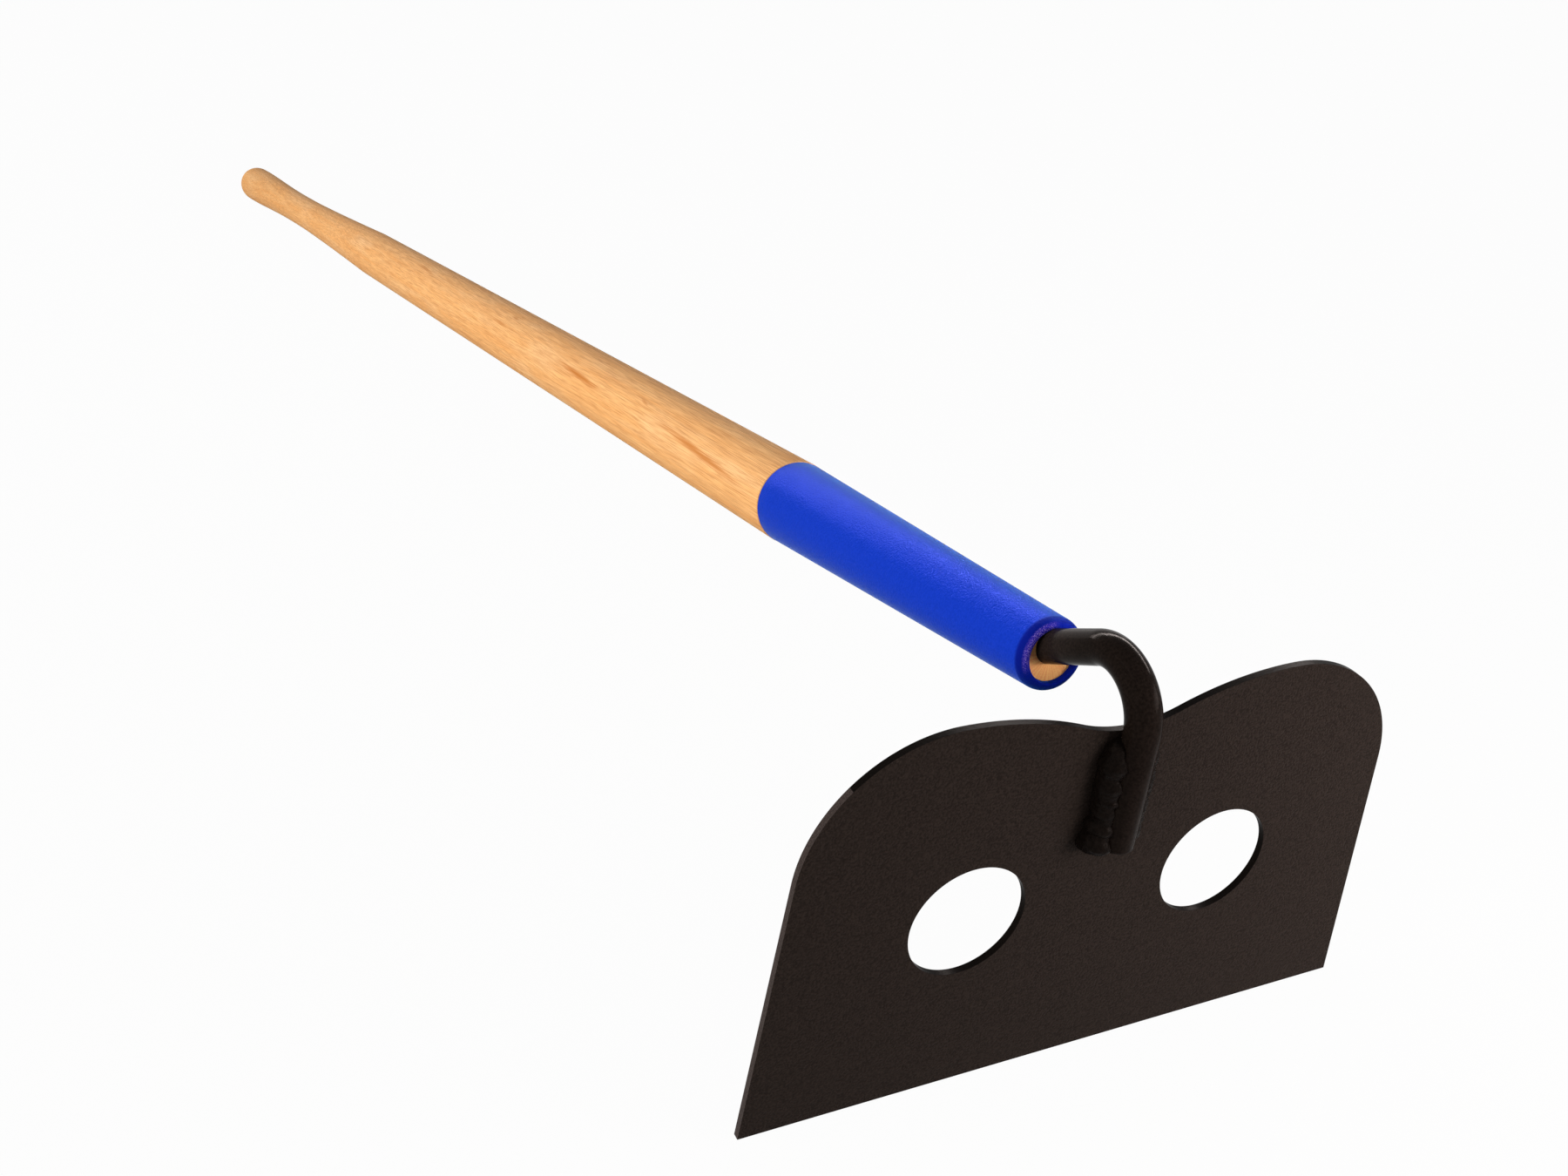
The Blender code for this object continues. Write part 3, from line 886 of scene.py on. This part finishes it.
# The studio: a pale floor without an edge in view and a plain grey room, both white to the camera
# and in mirrors. A broad warm lamp stands at the left and a small soft one in front at the right.
# Strips round the steel end light no matt surface and show only as streaks in glossy ones.
FLOOR_SIZE = 60.0
STUDIO_WHITE = 0.97
FLOOR_COLOUR = (0.44, 0.44, 0.44)
ROOM_COLOUR = (0.30, 0.30, 0.31)
WHITE = (1.0, 1.0, 1.0)
LAMP_AIM = Vector((0.0, -0.35, 0.10))
# Each soft lamp's place, size, power and colour.
SOFT_LAMPS = (
    ("key_lamp", (-3.2, -0.75, 1.2), (3.0, 1.3), 117.0, (1.0, 0.93, 0.82)),
    ("fill_lamp", (0.45, -1.26, 0.21), (0.42, 0.30), 7.0, (1.0, 0.91, 0.86)),
)
# Each strip runs between two directions, given by their compass and height in degrees, and has a
# height and a brightness.
STRIP_REACH = 2.6
STRIP_COLOUR = (1.0, 0.90, 0.86)
STRIP_LAMPS = (
    ("back_strip", (-18.0, 17.0), (12.0, 31.0), 0.20, 40.0),
    ("middle_strip", (8.0, 33.0), (46.0, 31.0), 0.26, 54.0),
    ("right_strip", (46.0, 30.0), (92.0, 27.0), 0.30, 52.0),
    ("left_strip", (-145.0, 40.0), (-60.0, 30.0), 0.12, 5.0),
    ("low_strip", (-15.0, 8.0), (50.0, 8.0), 0.70, 1.2),
    ("side_strip", (104.0, 14.0), (140.0, 12.0), 0.80, 9.0),
)


def white_share(stuff):
    """How much of a plain white is seen in place of a thing's own colour.

    The camera sees it, and so does what mirrors or lets light through.
    """
    seen, mirrored, through = (
        stuff.node("ShaderNodeLightPath", {}, {}, ray)
        for ray in ("Is Camera Ray", "Is Glossy Ray", "Is Transmission Ray")
    )
    return STUDIO_WHITE * (seen + mirrored + through)


def hang_lamp(name, where, turn, size, power, colour):
    """Hang a rectangular lamp at a place, turned so that it faces along its own -Z."""
    bpy.ops.object.light_add(type="AREA", location=where)
    lamp = bpy.context.object
    lamp.name = name
    lamp.rotation_euler = turn
    lamp.data.shape = "RECTANGLE"
    lamp.data.size, lamp.data.size_y = size
    lamp.data.energy = power
    lamp.data.color = colour
    return lamp


bpy.ops.mesh.primitive_plane_add(size=FLOOR_SIZE, location=(0.0, 0.0, 0.0))
floor = bpy.context.object
floor.name = "studio_floor"
ground = Finish(bpy.data.materials.new("pale_floor"))
ground.dress(Base_Color=FLOOR_COLOUR, Roughness=0.9, Specular_IOR_Level=0.0)
bare_floor = Wire(ground, ground.shader.outputs[0])
white_glow = ground.node("ShaderNodeEmission", {}, {"Color": WHITE, "Strength": 1.0})
surface = ground.node(
    "ShaderNodeMixShader", {}, {0: white_share(ground), 1: bare_floor, 2: white_glow}
)
ground.feed(ground.tree.nodes["Material Output"].inputs["Surface"], surface)
floor.data.materials.append(ground.owner)

room = Finish(bpy.data.worlds.new("room"), "Background")
room.dress(Color=room.blend(white_share(room), ROOM_COLOUR, WHITE))
bpy.context.scene.world = room.owner

for name, where, size, power, colour in SOFT_LAMPS:
    turn = (LAMP_AIM - Vector(where)).to_track_quat("-Z", "Y").to_euler()
    soft = hang_lamp(name, where, turn, size, power, colour)
    soft.visible_glossy = False
steel_end = stance @ Vector((0.0, 0.0, BLADE_HEIGHT))
for name, start, end, height, brightness in STRIP_LAMPS:
    ends = []
    for compass, rise in (start, end):
        to_compass = Matrix.Rotation(math.radians(-compass), 3, "Z")
        lift = Matrix.Rotation(math.radians(rise), 3, "X")
        ends.append(steel_end + to_compass @ lift @ Vector((0.0, STRIP_REACH, 0.0)))
    run = ends[1] - ends[0]
    where = (ends[0] + ends[1]) / 2
    away = (where - steel_end).normalized()
    up = away.cross(run).normalized()
    turn = Matrix((up.cross(away), up, away)).transposed().to_euler()
    power = math.pi * brightness * run.length * height
    strip = hang_lamp(name, where, turn, (run.length, height), power, STRIP_COLOUR)
    strip.visible_diffuse = False


# The camera stands to the left of the blade, a little higher than the hoe, and looks down at it.
CAMERA_PLACE = (-0.3169, -1.2279, 0.3856)
CAMERA_TURN = (66.793, -2.726, -25.595)
CAMERA_LENS = 38.07
SENSOR_WIDTH = 36.0
NEAREST_SEEN = 0.01
bpy.ops.object.camera_add(
    location=CAMERA_PLACE, rotation=[math.radians(angle) for angle in CAMERA_TURN]
)
camera = bpy.context.object
camera.data.sensor_width = SENSOR_WIDTH
camera.data.lens = CAMERA_LENS
camera.data.clip_start = NEAREST_SEEN
bpy.context.scene.camera = camera
bpy.context.scene.view_settings.view_transform = "Standard"
